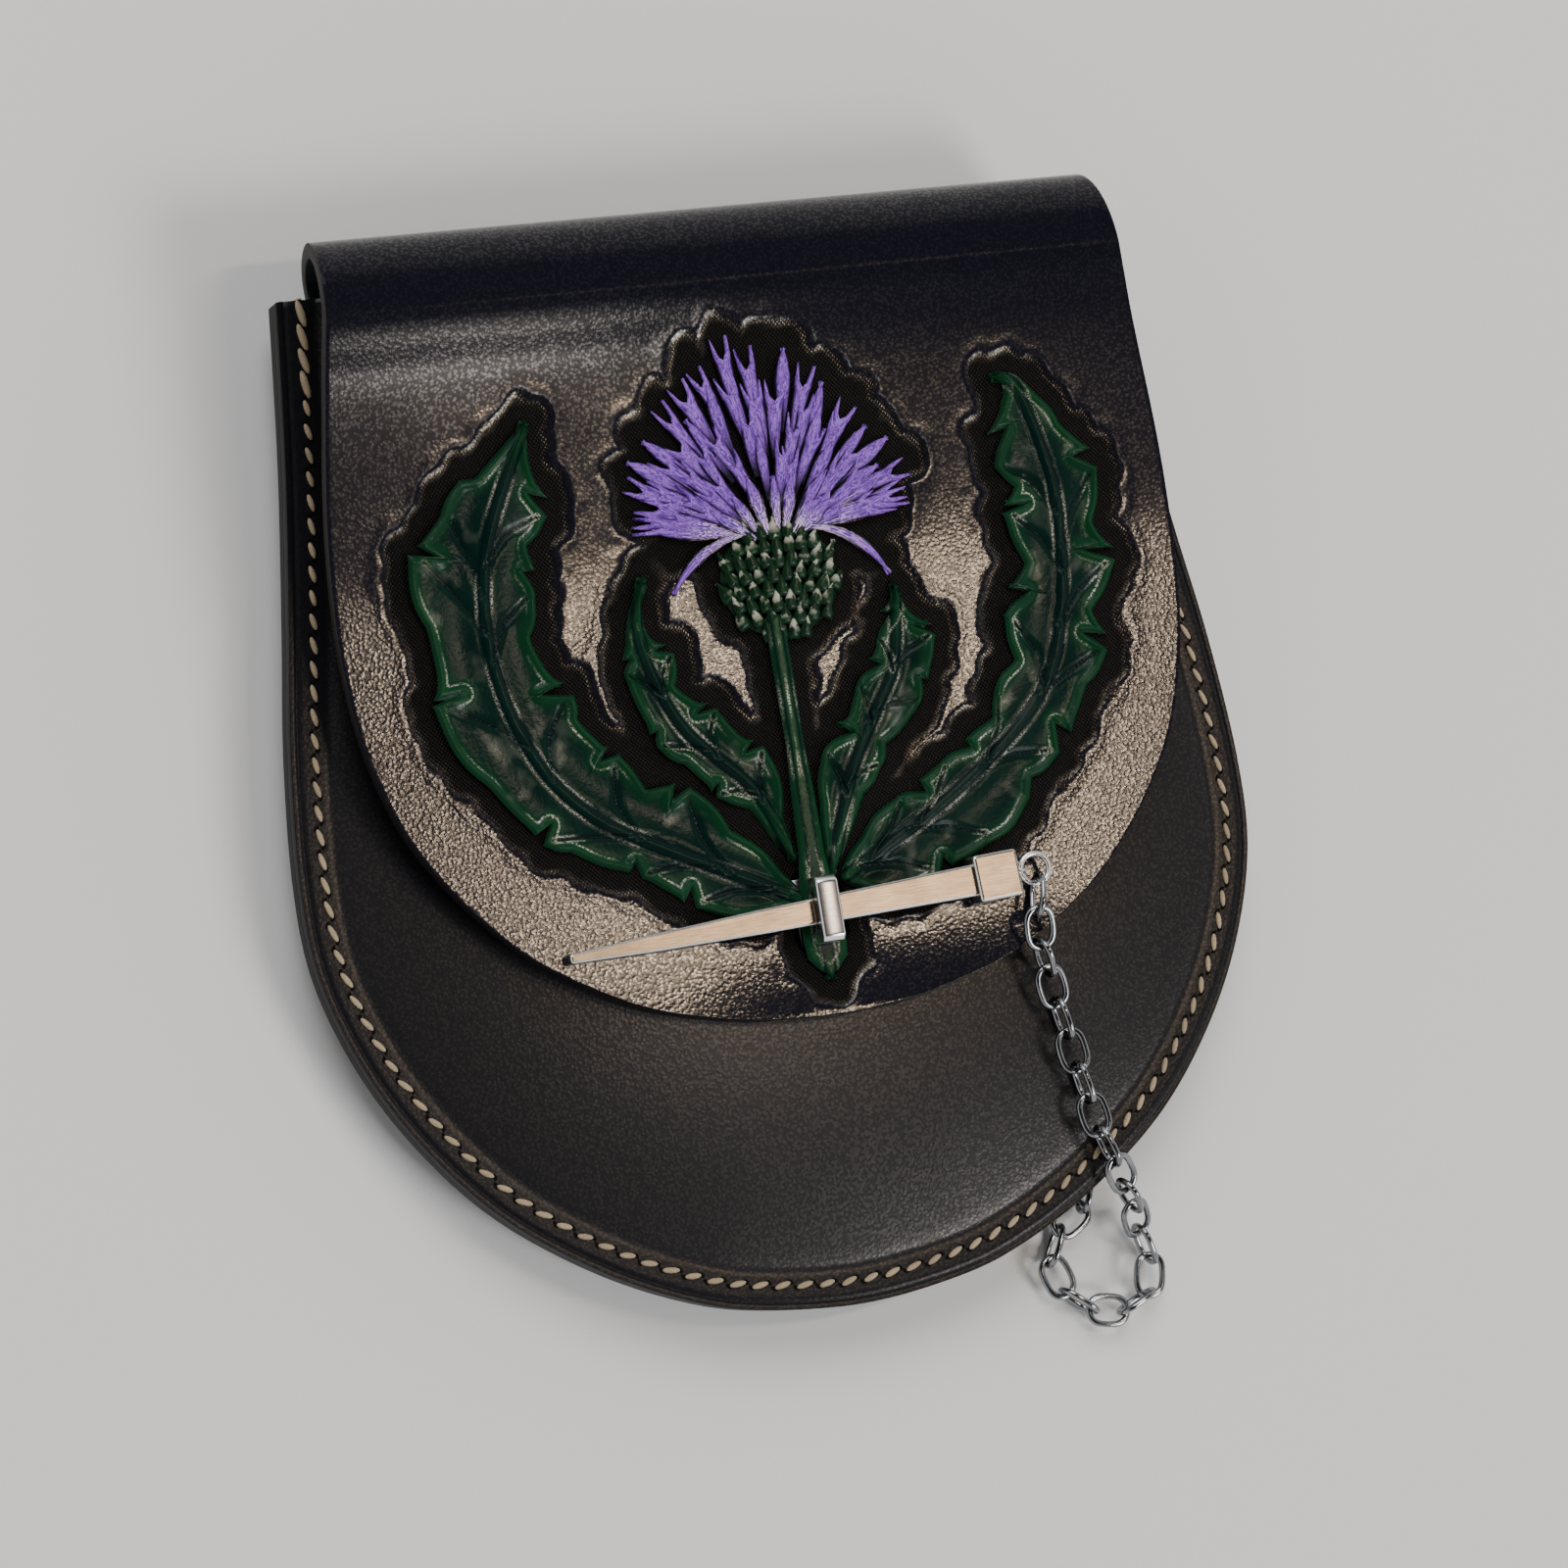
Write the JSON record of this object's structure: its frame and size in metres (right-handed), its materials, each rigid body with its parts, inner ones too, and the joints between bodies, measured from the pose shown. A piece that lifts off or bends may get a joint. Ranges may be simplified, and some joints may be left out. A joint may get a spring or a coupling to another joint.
{
  "type": "sporran pouch",
  "caption": "Moulded leather belt pouch with a carved thistle flap, a pin-and-staple clasp and a keeper chain, lying on its back.",
  "frame": {"origin": "middle of the belt loop's outer face, on which the pouch rests", "axes": "+X to the pouch's right as seen from the front, +Y up towards the roll, +Z out of the front"},
  "size_m": [0.2, 0.2333, 0.033],
  "materials": {
    "flap_leather": "carved, dyed and polished",
    "pocket_leather": "moulded, dyed and polished",
    "loop_leather": "dyed, satin",
    "pin_pewter": "warm antique pewter, brushed",
    "staple_pewter": "grey antique pewter",
    "chain_steel": "dark polished steel",
    "waxed_thread": "waxed linen thread"
  },
  "bodies": {
    "root": {"back_and_flap": "flap_leather", "belt_loop": "loop_leather", "chain_anchor": "chain_steel", "chain_link_01": "chain_steel", "chain_link_02": "chain_steel", "chain_link_03": "chain_steel", "chain_link_04": "chain_steel", "chain_link_05": "chain_steel", "chain_link_06": "chain_steel", "chain_link_07": "chain_steel", "chain_link_08": "chain_steel", "chain_link_09": "chain_steel", "chain_link_10": "chain_steel", "chain_link_11": "chain_steel", "chain_link_12": "chain_steel", "chain_link_13": "chain_steel", "chain_link_14": "chain_steel", "chain_link_15": "chain_steel", "chain_link_16": "chain_steel", "chain_link_17": "chain_steel", "chain_link_18": "chain_steel", "chain_link_19": "chain_steel", "chain_link_20": "chain_steel", "chain_link_21": "chain_steel", "chain_link_22": "chain_steel", "chain_link_23": "chain_steel", "clasp_pin": "pin_pewter", "clasp_staple": "staple_pewter", "pocket_front": "pocket_leather"}
  },
  "joints": []
}
